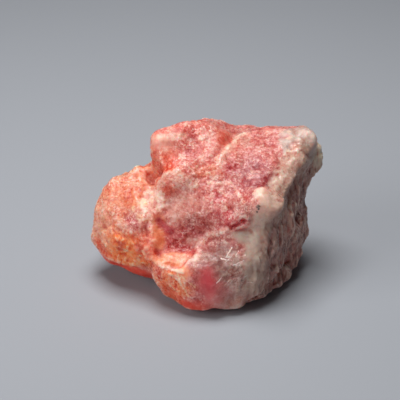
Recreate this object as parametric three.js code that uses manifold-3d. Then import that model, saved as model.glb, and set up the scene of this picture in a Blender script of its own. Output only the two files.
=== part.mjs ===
// A rough, hand-broken lump of triplite with a pale quartz rind down its right side.
// It grew as one piece, so it is one closed solid. Millimetres, +Z up, the front towards -Y.
// The lump rests on a flat under its body; the origin is the middle of its box, on that flat.
//
// The shape is a field of distances: rounded boulders and flat-sided blocks are blended
// together, hollows are scooped out of them, and the skin is roughened. A net of
// quadrilaterals is drawn over the zero level of that field and relaxed on it.

import * as THREE from "three";
import { ConvexHull } from "three/addons/math/ConvexHull.js";
import { ImprovedNoise } from "three/addons/math/ImprovedNoise.js";
import { mergeVertices } from "three/addons/utils/BufferGeometryUtils.js";
import Module from "manifold-3d";

// ---- Driving dimensions ---------------------------------------------------------------

const NET_STEP = 1.2; // side of one cell of the net
const NET_LOW = [-27, -20]; // the net's reach to the left and the front
const NET_HIGH = [27, 23, 35]; // the net's reach to the right, the back and the top
const RELAX_ROUNDS = 6; // how often the net is evened out
const KEEP_PLACE = 0.4; // how far a knot stays where it is while it is evened out
const PROBE = 0.05; // distance over which the slope of the field is measured
const BLEND = 1; // radius in the creases between lobes
const EDGE_ROUND = 0.6; // radius along the edges of a block
const EDGE_SWELL = 0.3; // what the rounding of its edges takes off a block, given back
const SAME_FACE = 0.985; // two triangles of a hull whose normals agree this well are one face
const FLAT = -1; // the height of the flat that it rests on, before it is moved to 0
const FLAT_BELOW = 3; // how far the body runs on under that flat
const GROUND = { side: 100, depth: 50 }; // the block taken off under that flat

// Skin: waves of noise, from broad undulations to small knobs.
const SKIN = [
  { size: 8, height: 1 },
  { size: 4, height: 0.6 },
  { size: 2.1, height: 0.2 },
];

// Boulders: rounded knobs, as a middle and half-axes.
const BOULDERS = {
  cheek: { at: [-5.2, -1.2, 21.6], half: [3.8, 3, 2.8] },
  wall_knob: { at: [17.6, 3.6, 7.8], half: [2.6, 2.6, 3] },
  wall_rib: { at: [17.2, 7.5, 13], half: [2.2, 2.4, 6] },
  quartz_knob: { at: [12.2, -8.4, 20.8], half: [2.4, 2, 2.2] },
  back_knob: { at: [-2, 14.5, 12], half: [5, 3.4, 6] },
};

// The crown: an arc of corners over the top lobe, from its left foot to its right, in degrees.
const CROWN = { middle: [-3.2, 5.5, 26.5], half: [9.2, 3, 4.5], from: 190, to: 15, corners: 7 };

// The corners of the crown. The arc leans back from left to right.
function crownCorners() {
  const { middle, half, from, to, corners } = CROWN;
  return Array.from({ length: corners }, (_, n) => {
    const turn = THREE.MathUtils.degToRad(from + ((to - from) * n) / (corners - 1));
    const around = [Math.cos(turn), Math.cos(turn), Math.sin(turn)];
    return middle.map((at, axis) => at + half[axis] * around[axis]);
  });
}

// Blocks: flat-sided masses, as the corners of their hulls.
const BLOCKS = {
  slab: [
    // the plateau
    [7, 9.5, 28.2], [20, 11, 28], [22.6, 7, 28.4], [4, 2, 27],
    // the front, from its upper edge down
    [13, -8.8, 21.8], [5.5, -6, 22.8], [-3, -3.5, 22.4], [-8.5, -3, 19.5], [-9.5, 1, 22.5],
    [-12, -7, 11], [-4, -9, 12.5], [6, -10.5, 15], [13, -10, 8], [14.5, -9, 2], [-12, -4, 3],
    // the right wall
    [18.8, -1.5, 2], [19, 4, 3], [20.4, 5, 18],
    // the back
    [14, 12, 1], [14.5, 14, 20], [7.5, 17, 22], [-4, 15.5, 20], [-5, 15, 1], [-11, 9, 1],
    // the foot, which the flat cuts off
    [10, 9, -3.5], [10, -5, -3.5], [-7, 4, -3.5], [-4, 12, -3.5],
  ],
  top_lobe: [
    ...crownCorners(),
    // the front
    [-8.4, -2, 24.7], [-3.2, -4, 23.8], [2.5, -2, 25.2], [-9, 3, 21.5], [-3, -3, 20],
    [4, 1, 21],
    // the back
    [-9, 10, 27], [0, 15, 27], [6, 13, 26], [-8, 11, 20], [4, 16, 18],
  ],
  left_lobe: [
    // the outline, from the top round the left end to the foot
    [-12.6, 4, 22.4], [-16.6, 4, 21], [-19.2, 3, 19.7], [-22.2, 2, 14.4], [-23.4, 1, 10.3],
    [-22.9, 0, 4.8], [-20.5, -1.5, 2.6], [-15.6, -4, 2], [-10.5, -5.5, 1.8],
    // the front
    [-17.2, -4, 15.8], [-12, -4.5, 18], [-15.2, -7.2, 11.4], [-19, -5.2, 9], [-11, -7.8, 11],
    [-14, -6.8, 5.5],
    // the back
    [-20, 8, 14], [-18, 9, 6], [-14, 12, 8], [-13, 11, 18], [-8, 8, 20],
    // the underside and the root in the slab
    [-8, 0, 4], [-14, 6, 0], [-10, 2, -1], [-18, 5, 1],
  ],
  ledge: [
    // the upper edge
    [-11, -10, 9.2], [-7.4, -11.3, 10.4], [-3.2, -12, 11.3], [-1, -11.8, 11.7],
    // the front
    [-10.8, -11.8, 7.4], [-3.8, -14.2, 10], [0, -15, 9.5], [-10.2, -11, 3.4],
    [-8.8, -10.7, 0.8], [-5.4, -13.8, 0.3], [0.2, -16, 0.3], [2, -15.6, 3],
    // the root in the slab, and the foot, which is drawn in
    [-9, -4, 8], [0, -4, 9], [-8, -4, -3.5], [-5, -8.5, -3.5], [1, -9.5, -3.5],
  ],
  shoulder: [
    // the upper edge, rising to the right
    [-1.8, -11.4, 12], [0, -11, 14.4], [1.8, -10.5, 15.9], [5.8, -10.3, 17.2],
    [12.8, -9.8, 19],
    // the front
    [9, -13, 12.6], [6.8, -14.8, 8.8], [1, -14.8, 8.5], [1.8, -16, 4], [2.8, -16.5, 0.3],
    [6, -15.7, 0.3], [11, -13.2, 0.6], [14.2, -10, 1.6], [14, -9, 10], [-3, -12, 4],
    // the root in the slab, and the foot, which is drawn in
    [2, -2, 12], [12, -2, 14], [16, -5, 0.8], [3, -10, -3.5], [9, -8.5, -3.5],
  ],
  back_flake: [
    [23, 9, 25.7], [23.6, 8, 22], [23.4, 8, 18.6], [20, 8, 17], [19, 12, 25], [19, 6, 20],
    [18, 14, 18],
  ],
};

// Hollows: rounded scoops out of the lobes.
const HOLLOWS = {
  pocket: { at: [-3.8, -12.6, 14.6], half: [7, 4.4, 3.3] },
  notch: { at: [-12.8, -2.5, 24.2], half: [3.2, 4, 1.9] },
  back_scar: { at: [13, 20, 9], half: [7, 5, 7] },
  end_scar: { at: [-14, 18, 19], half: [6, 6, 5] },
  foot_scar: { at: [3, 19, 1], half: [6, 5, 5] },
};

// ---- The field ------------------------------------------------------------------------

const perlin = new ImprovedNoise();

function waves(point, { size, height }) {
  return height * perlin.noise(point.x / size, point.y / size, point.z / size);
}

// The distance to an ellipsoid, negative inside.
function boulder({ at, half }) {
  const middle = new THREE.Vector3(...at);
  const axes = new THREE.Vector3(...half);
  const scaled = new THREE.Vector3();
  return (point) => {
    scaled.subVectors(point, middle).divide(axes);
    const reach = scaled.length();
    const slope = scaled.divide(axes).length();
    return slope > 0 ? (reach * (reach - 1)) / slope : -Math.min(...half);
  };
}

// The distance to a hull with rounded edges, negative inside.
function block(corners) {
  const points = corners.map((corner) => new THREE.Vector3(...corner));
  const planes = [];
  for (const { normal, constant } of new ConvexHull().setFromPoints(points).faces) {
    const known = planes.some((plane) => plane.normal.dot(normal) > SAME_FACE);
    if (!known) planes.push(new THREE.Plane(normal.clone(), -constant));
  }
  return (point) => {
    const heights = planes.map((plane) => plane.distanceToPoint(point));
    return smoothMax(heights, EDGE_ROUND) - EDGE_SWELL;
  };
}

function smoothMax(values, radius) {
  const top = Math.max(...values);
  const sum = values.reduce((total, value) => total + Math.exp((value - top) / radius), 0);
  return top + radius * Math.log(sum);
}

const solids = [
  ...Object.values(BOULDERS).map(boulder),
  ...Object.values(BLOCKS).map(block),
];
const scoops = Object.values(HOLLOWS).map(boulder);

// The whole lump: blended solids less the scoops, roughened, and closed under the flat.
function stone(point) {
  const inwards = solids.map((solid) => -solid(point));
  const filled = -smoothMax(inwards, BLEND);
  const outOfScoops = scoops.map((scoop) => -scoop(point));
  const carved = smoothMax([filled, ...outOfScoops], BLEND);
  const rough = SKIN.reduce((total, wave) => total + waves(point, wave), carved);
  return Math.max(rough, FLAT - FLAT_BELOW - point.z);
}

// ---- The net --------------------------------------------------------------------------

// A net over the zero level of a field: a knot in each cell that it crosses, and two
// triangles round each edge of the grid that it crosses.
function drawNet(field, low, high, step) {
  const [nx, ny, nz] = low.map((start, axis) => Math.ceil((high[axis] - start) / step) + 1);
  const slot = (i, j, k) => i + nx * (j + ny * k);
  const corner = (i, j, k) =>
    new THREE.Vector3(low[0] + i * step, low[1] + j * step, low[2] + k * step);

  const value = new Float32Array(nx * ny * nz);
  for (let k = 0; k < nz; k++)
    for (let j = 0; j < ny; j++)
      for (let i = 0; i < nx; i++) value[slot(i, j, k)] = field(corner(i, j, k));

  const knotOf = new Map();
  const knots = [];
  for (let k = 0; k < nz - 1; k++)
    for (let j = 0; j < ny - 1; j++)
      for (let i = 0; i < nx - 1; i++) {
        const crossings = cellCrossings(value, slot, corner, [i, j, k]);
        if (!crossings.length) continue;
        knotOf.set(slot(i, j, k), knots.length);
        knots.push(average(crossings));
      }

  const faces = [];
  const quad = (cells, turned) => {
    const [a, b, c, d] = cells.map((cell) => knotOf.get(slot(...cell)));
    if (turned) faces.push([a, c, b], [a, d, c]);
    else faces.push([a, b, c], [a, c, d]);
  };
  for (let k = 1; k < nz - 1; k++)
    for (let j = 1; j < ny - 1; j++)
      for (let i = 1; i < nx - 1; i++) {
        const inside = value[slot(i, j, k)] < 0;
        if (inside !== value[slot(i + 1, j, k)] < 0)
          quad([[i, j - 1, k - 1], [i, j, k - 1], [i, j, k], [i, j - 1, k]], !inside);
        if (inside !== value[slot(i, j + 1, k)] < 0)
          quad([[i - 1, j, k - 1], [i - 1, j, k], [i, j, k], [i, j, k - 1]], !inside);
        if (inside !== value[slot(i, j, k + 1)] < 0)
          quad([[i - 1, j - 1, k], [i, j - 1, k], [i, j, k], [i - 1, j, k]], !inside);
      }
  return { knots, faces };
}

// Where the zero level crosses the twelve edges of a cell.
function cellCrossings(value, slot, corner, [i, j, k]) {
  const ends = [];
  for (let n = 0; n < 8; n++) ends.push([i + (n & 1), j + ((n >> 1) & 1), k + (n >> 2)]);
  const found = [];
  for (let n = 0; n < 8; n++)
    for (const bit of [1, 2, 4]) {
      if (n & bit) continue;
      const [from, to] = [ends[n], ends[n | bit]];
      const [a, b] = [value[slot(...from)], value[slot(...to)]];
      if (a < 0 !== b < 0) found.push(corner(...from).lerp(corner(...to), a / (a - b)));
    }
  return found;
}

function average(points) {
  const total = new THREE.Vector3();
  for (const point of points) total.add(point);
  return total.divideScalar(points.length);
}

// Moves each knot towards the middle of its neighbours, and back onto the surface.
function relax(field, { knots, faces }, rounds) {
  const neighbours = knots.map(() => new Set());
  for (const [a, b, c] of faces) {
    neighbours[a].add(b).add(c);
    neighbours[b].add(c).add(a);
    neighbours[c].add(a).add(b);
  }
  for (let round = 0; round < rounds; round++) {
    const evened = knots.map((knot, n) => {
      const around = Array.from(neighbours[n], (other) => knots[other]);
      return average(around).lerp(knot, KEEP_PLACE);
    });
    evened.forEach((point, n) => knots[n].copy(ontoSurface(field, point)));
  }
}

// Two steps down the slope of the field, neither longer than the slope is trusted for.
function ontoSurface(field, point) {
  const LEAST_SLOPE = 0.25;
  for (let n = 0; n < 2; n++) {
    const here = field(point);
    const slope = new THREE.Vector3(
      field(point.clone().setX(point.x + PROBE)) - here,
      field(point.clone().setY(point.y + PROBE)) - here,
      field(point.clone().setZ(point.z + PROBE)) - here,
    ).divideScalar(PROBE);
    const steepness = Math.max(slope.lengthSq(), LEAST_SLOPE);
    point.addScaledVector(slope, THREE.MathUtils.clamp(-here / steepness, -1, 1));
  }
  return point;
}

// ---- Solids ---------------------------------------------------------------------------

const wasm = await Module();
wasm.setup();

function toSolid(positions, triangles) {
  const mesh = new wasm.Mesh({
    numProp: 3,
    vertProperties: Float32Array.from(positions),
    triVerts: Uint32Array.from(triangles),
  });
  return new wasm.Manifold(mesh);
}

function toGeometry(solid) {
  const { vertProperties, triVerts } = solid.getMesh();
  const geometry = new THREE.BufferGeometry();
  geometry.setAttribute("position", new THREE.BufferAttribute(vertProperties, 3));
  geometry.setIndex(new THREE.BufferAttribute(triVerts, 1));
  return geometry;
}

function roughLump() {
  const low = [...NET_LOW, FLAT - FLAT_BELOW - 2 * NET_STEP];
  const net = drawNet(stone, low, NET_HIGH, NET_STEP);
  relax(stone, net, RELAX_ROUNDS);
  const positions = net.knots.flatMap((knot) => knot.toArray());
  return toSolid(positions, net.faces.flat());
}

// Everything under the flat, which is taken off so that the lump rests on it.
function groundBlock() {
  const box = new THREE.BoxGeometry(GROUND.side, GROUND.side, GROUND.depth);
  box.translate(0, 0, FLAT - GROUND.depth / 2);
  box.deleteAttribute("normal");
  box.deleteAttribute("uv");
  const closed = mergeVertices(box);
  return toSolid(closed.getAttribute("position").array, closed.getIndex().array);
}

const geometry = toGeometry(roughLump().subtract(groundBlock()));
geometry.computeBoundingBox();
const middle = geometry.boundingBox.getCenter(new THREE.Vector3());
geometry.translate(-middle.x, -middle.y, -FLAT);

const skin = new THREE.MeshStandardMaterial({ color: 0xd98a78, roughness: 0.5, metalness: 0 });
const lump = new THREE.Mesh(geometry, skin);
lump.name = "triplite_lump";

const group = new THREE.Group();
group.add(lump);
export default group;
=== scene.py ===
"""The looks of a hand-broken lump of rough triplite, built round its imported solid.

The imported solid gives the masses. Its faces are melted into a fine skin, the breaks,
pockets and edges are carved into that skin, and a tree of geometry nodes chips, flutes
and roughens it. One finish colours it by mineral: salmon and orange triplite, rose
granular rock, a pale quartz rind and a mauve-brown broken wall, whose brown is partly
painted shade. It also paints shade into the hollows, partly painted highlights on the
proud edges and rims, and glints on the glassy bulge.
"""

import logging
import math
from dataclasses import dataclass
from enum import Enum
from typing import Any

import bmesh
import bpy
import numpy as np
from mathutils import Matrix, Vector
from mathutils.bvhtree import BVHTree
from mathutils.kdtree import KDTree


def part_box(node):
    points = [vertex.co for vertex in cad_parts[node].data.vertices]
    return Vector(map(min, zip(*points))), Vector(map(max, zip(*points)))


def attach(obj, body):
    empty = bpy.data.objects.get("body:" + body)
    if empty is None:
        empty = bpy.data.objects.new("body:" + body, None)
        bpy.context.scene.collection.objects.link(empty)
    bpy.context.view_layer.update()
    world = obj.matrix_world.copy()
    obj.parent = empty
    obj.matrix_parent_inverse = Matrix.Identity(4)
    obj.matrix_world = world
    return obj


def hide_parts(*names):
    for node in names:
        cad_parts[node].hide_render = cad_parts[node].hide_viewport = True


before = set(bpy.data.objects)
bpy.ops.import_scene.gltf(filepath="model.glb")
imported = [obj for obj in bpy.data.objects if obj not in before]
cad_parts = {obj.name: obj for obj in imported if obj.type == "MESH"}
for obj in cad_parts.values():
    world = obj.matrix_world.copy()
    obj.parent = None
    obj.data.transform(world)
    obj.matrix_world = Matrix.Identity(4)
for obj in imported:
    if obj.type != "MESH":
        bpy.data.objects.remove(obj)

LOG = logging.getLogger("triplite")

MM = 0.001
NODE = "triplite_lump"
BODY = "root"
SEED = 4

Share = tuple[float, float, float]
Colour = tuple[float, float, float, float]
Spot = tuple[float, float]
Run = tuple[Spot, ...]
Socket = bpy.types.NodeSocket


# ---- Places on the lump ---------------------------------------------------------------

# How much the way along the sight counts towards the width of a line.
SIGHT_COUNTS = 0.35

# How many stretches each leg of a carved path is laid on the skin in.
STRETCHES = 4


class Seen(Enum):
    """The side that a place is looked up from.

    Each holds the two axes that the shares of a place run along, the axis that is looked
    along, and the end of that axis that is looked from.
    """

    FRONT = (0, 2, 1, -1)
    BACK = (0, 2, 1, 1)
    TOP = (0, 1, 2, 1)
    BELOW = (0, 1, 2, -1)
    RIGHT = (1, 2, 0, 1)

    @property
    def flat(self) -> Vector:
        """How much each axis counts towards the width of a line: little, along the sight."""
        return Vector(SIGHT_COUNTS if axis == self.value[2] else 1.0 for axis in range(3))


FRONT, BACK, TOP, BELOW, RIGHT = Seen


@dataclass(frozen=True)
class Solid:
    """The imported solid, which every place on the skin is found on.

    Args:
        low: The lowest corner of its box, in millimetres.
        high: The highest corner, in millimetres.
        faces: Its faces, in millimetres.
    """

    low: Vector
    high: Vector
    faces: BVHTree

    @classmethod
    def of_node(cls, node: str) -> "Solid":
        """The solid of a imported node.

        Args:
            node: The node's name.

        Returns:
            The solid.
        """
        low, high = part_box(node)
        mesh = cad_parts[node].data
        points = [vertex.co / MM for vertex in mesh.vertices]
        faces = BVHTree.FromPolygons(points, [face.vertices[:] for face in mesh.polygons])
        return cls(low / MM, high / MM, faces)

    def place(self, share: Share) -> Vector:
        """The point of the box, in millimetres, at shares of its width, depth and height."""
        return Vector(low + s * (high - low) for low, high, s in zip(self.low, self.high, share))

    def spot(self, seen: Seen, at: Spot) -> Vector:
        """The point of the skin that is seen at a place of one side.

        Args:
            seen: The side.
            at: How far along that side's two axes it is, from 0 to 1.

        Returns:
            The point, in millimetres, or the nearest of the skin if nothing is seen there.
        """
        across, up, sight, end = seen.value
        share = [0.5, 0.5, 0.5]
        share[across], share[up] = at
        middle = self.place(share)
        start = middle.copy()
        start[sight] += end * (self.high - self.low)[sight]
        way = Vector((0.0, 0.0, 0.0))
        way[sight] = -end
        hit = self.faces.ray_cast(start, way)[0]
        return self.faces.find_nearest(middle)[0] if hit is None else hit

    def trail(self, seen: Seen, path: Run, stretches: int = 1) -> list[Vector]:
        """The points of the skin that a path runs through.

        Args:
            seen: The side that the path is seen from.
            path: Its places on that side.
            stretches: How many stretches each leg of it is laid on the skin in.

        Returns:
            The points, in millimetres.
        """
        places = [path[0]]
        for start, end in zip(path, path[1:]):
            for n in range(1, stretches + 1):
                places.append(tuple(s + (e - s) * n / stretches for s, e in zip(start, end)))
        return [self.spot(seen, place) for place in places]


# ---- Nodes ----------------------------------------------------------------------------

HALF = (0.5, 0.5, 0.5)


class Weaver:
    """Adds nodes to a tree, one call for each step of a pattern."""

    def __init__(self, tree: bpy.types.NodeTree) -> None:
        """Starts on a shader or geometry tree, and empties it."""
        self.tree = tree
        tree.nodes.clear()

    def plug(self, socket: Socket, value: Any) -> None:
        """Links a socket to another, or sets its value.

        Args:
            socket: The input to fill.
            value: An output socket, a number, or a sequence of numbers.
        """
        if isinstance(value, Socket):
            self.tree.links.new(value, socket)
        elif value is not None:
            socket.default_value = value

    def add(self, kind: str, values: dict[Any, Any] | None = None, **settings: Any) -> bpy.types.Node:
        """Adds one node.

        Args:
            kind: The node's type name.
            values: Its inputs, by name or by number.
            **settings: Its properties.

        Returns:
            The node.
        """
        node = self.tree.nodes.new(kind)
        for name, value in settings.items():
            setattr(node, name, value)
        for key, value in (values or {}).items():
            self.plug(node.inputs[key], value)
        return node

    def math(self, operation: str, *values: Any) -> Socket:
        """A sum on one to three numbers."""
        return self.add("ShaderNodeMath", dict(enumerate(values)), operation=operation).outputs[0]

    def vector(self, operation: str, *values: Any, out: str = "Vector") -> Socket:
        """A sum on vectors, which makes a vector or, as its "Value", a number."""
        return self.add("ShaderNodeVectorMath", dict(enumerate(values)), operation=operation).outputs[out]

    def scaled(self, vector: Any, factor: Any) -> Socket:
        """A vector times a number."""
        node = self.add("ShaderNodeVectorMath", {0: vector, "Scale": factor}, operation="SCALE")
        return node.outputs["Vector"]

    def length(self, vector: Any) -> Socket:
        """The length of a vector."""
        return self.vector("LENGTH", vector, out="Value")

    def dot(self, one: Any, other: Any) -> Socket:
        """The dot product of two vectors."""
        return self.vector("DOT_PRODUCT", one, other, out="Value")

    def aside(self, where: Any, far: float) -> Socket:
        """A point moved along X, so that a pattern read there is a different one."""
        return self.vector("ADD", where, (far, 0.0, 0.0))

    def ease(self, value: Any, low: float, high: float, top: float = 1.0) -> Socket:
        """A smooth step.

        Args:
            value: The number that is eased.
            low: Where the step is at nought. It may be over high, for a step down.
            high: Where the step is at its top.
            top: What the step rises to.

        Returns:
            The step, from nought to top.
        """
        down = low > high
        ends = {1: min(low, high), 2: max(low, high), 3: top if down else 0.0, 4: 0.0 if down else top}
        node = self.add("ShaderNodeMapRange", {0: value, **ends}, interpolation_type="SMOOTHSTEP")
        return node.outputs[0]

    def blend(self, share: Any, one: Any, other: Any, mode: str = "MIX") -> Socket:
        """One colour with a share of another laid over it."""
        values = {0: share, 6: one, 7: other}
        return self.add("ShaderNodeMix", values, data_type="RGBA", blend_type=mode).outputs[2]

    def between(self, share: Any, one: Any, other: Any) -> Socket:
        """A number between two others."""
        return self.add("ShaderNodeMix", {0: share, 2: one, 3: other}, data_type="FLOAT").outputs[0]

    def per(self, size: Any) -> Any:
        """One over a size, which is a number or a socket."""
        return self.math("DIVIDE", 1.0, size) if isinstance(size, Socket) else 1 / size

    def noise(
        self, where: Any, size: Any, detail: float = 2.0, rough: float = 0.5, out: str = "Fac"
    ) -> Socket:
        """Noise in waves of a size, with so many finer octaves, which are so strong."""
        values = {"Vector": where, "Scale": self.per(size), "Detail": detail, "Roughness": rough}
        return self.add("ShaderNodeTexNoise", values).outputs[out]

    def cells(self, where: Any, size: Any, feature: str = "F1") -> bpy.types.Node:
        """A texture of cells of a size, which measures one feature of them."""
        values = {"Vector": where, "Scale": self.per(size)}
        return self.add("ShaderNodeTexVoronoi", values, feature=feature)

    def wander(self, where: Any, size: Any, reach: Any) -> Socket:
        """A point moved about at random, in waves.

        Args:
            where: The point.
            size: The size of the waves.
            reach: How far the point moves, at most, each way.

        Returns:
            The moved point.
        """
        push = self.vector("SUBTRACT", self.noise(where, size, out="Color"), HALF)
        doubled = self.math("MULTIPLY", reach, 2.0)
        return self.vector("ADD", where, self.scaled(push, doubled))


# ---- Colours --------------------------------------------------------------------------


def linear(code: str) -> Colour:
    """A colour code as linear light.

    Args:
        code: Red, green and blue as six hexadecimal digits.

    Returns:
        Red, green, blue and an alpha of 1.
    """
    parts = [int(code[n : n + 2], 16) / 255 for n in (0, 2, 4)]
    light = [c / 12.92 if c <= 0.04045 else ((c + 0.055) / 1.055) ** 2.4 for c in parts]
    return (*light, 1.0)


# What the colour of the stone is multiplied by where it is clear and thick, and in the hollows, where it is
# painted shade.
DEEP_TINT = (0.78, 0.32, 0.3, 1.0)


class Mineral(Enum):
    """What a patch of the lump is made of, as its colour in even light."""

    ROSE = "D07A72"
    SALMON = "DC7466"
    PEACH = "EC976E"
    APRICOT = "F0A682"
    ORANGE = "E07A4C"
    TANGERINE = "EA6238"
    AMBER = "FF8A44"
    SCARLET = "E4432A"
    CORAL = "E2706A"
    CARNATION = "DC877E"
    CHEEK = "E29C88"
    BUTTER = "F2CCA2"
    CREAM = "DEAA96"
    FROST = "F6D0BA"
    ICE = "FFEFE6"
    QUARTZ = "DCC0AE"
    PEARL = "BEA79B"
    TAN = "BA927F"
    GLASSY = "DCC6AE"
    RASPBERRY = "B64E54"
    CRIMSON = "C23844"
    GARNET = "94303A"
    BLOOD = "CC424A"
    BRICK = "CC4230"
    MAUVE = "C09082"
    # Umber darkens the broken wall, partly as painted shade.
    UMBER = "946054"
    BARK = "5A3830"
    DUSK = "8E6159"
    BLUSH = "F09C94"
    SEPIA = "A0766A"
    GREIGE = "C2A08E"
    SOOT = "2E2523"

    @property
    def colour(self) -> Colour:
        """The mineral's colour as linear light."""
        return linear(self.value)


# ---- Landmarks ------------------------------------------------------------------------
# Places are shares of the side that they are seen from. Marks that follow the same form of
# the stone share one of these.

NOTCH = (0.3, 0.45)
POCKET = (0.4, 0.4)
DUSK_SPOT = (0.7, 0.35)
LEDGE_TOP = (0.35, 0.15)
QUARTZ_SPOT = (0.65, 0.5)
RIDGE = ((0.9, 0.55), (0.85, 0.45), (0.8, 0.3), (0.8, 0.2))
RIDGE_FRONT = ((0.75, 0.7), (0.7, 0.5), (0.7, 0.35), (0.7, 0.2))
PLATEAU_RIM = ((0.65, 0.7), (0.6, 0.55), (0.55, 0.45))
PLATEAU_VEIN = ((0.5, 0.75), (0.6, 0.75), (0.65, 0.7))
BROW = ((0.25, 0.3), (0.45, 0.35), (0.5, 0.45), (0.6, 0.55))
SLIT = ((0.6, 0.55), (0.65, 0.6))
RED_STREAK = ((0.3, 0.5), (0.35, 0.45))
LEDGE_EDGE = ((0.3, 0.3), (0.4, 0.3))

# How far beside such a run a second mark follows it, in shares of its side.
BESIDE = 0.03


def shifted(run: Run, across: float = 0.0, up: float = 0.0) -> Run:
    """A run moved over its side, by shares of its width and height."""
    return tuple((x + across, y + up) for x, y in run)


@dataclass(frozen=True)
class Patch:
    """A place where one mineral shows.

    Args:
        mineral: What it is made of.
        seen: The side that it is seen from.
        at: Its middle on that side.
        half: Its half-axes, in millimetres.
        show: How much it covers what is under it, from 0 to 1.
        soft: How wide its edge is, as a share of its half-axes.
        chips: How much it is broken into small flat faces, from 0 to 1.
        grit: How sugary it is, from 0 to 1.
    """

    mineral: Mineral
    seen: Seen
    at: Spot
    half: Share
    show: float = 0.9
    soft: float = 0.5
    chips: float = 0.3
    grit: float = 1.0


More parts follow.
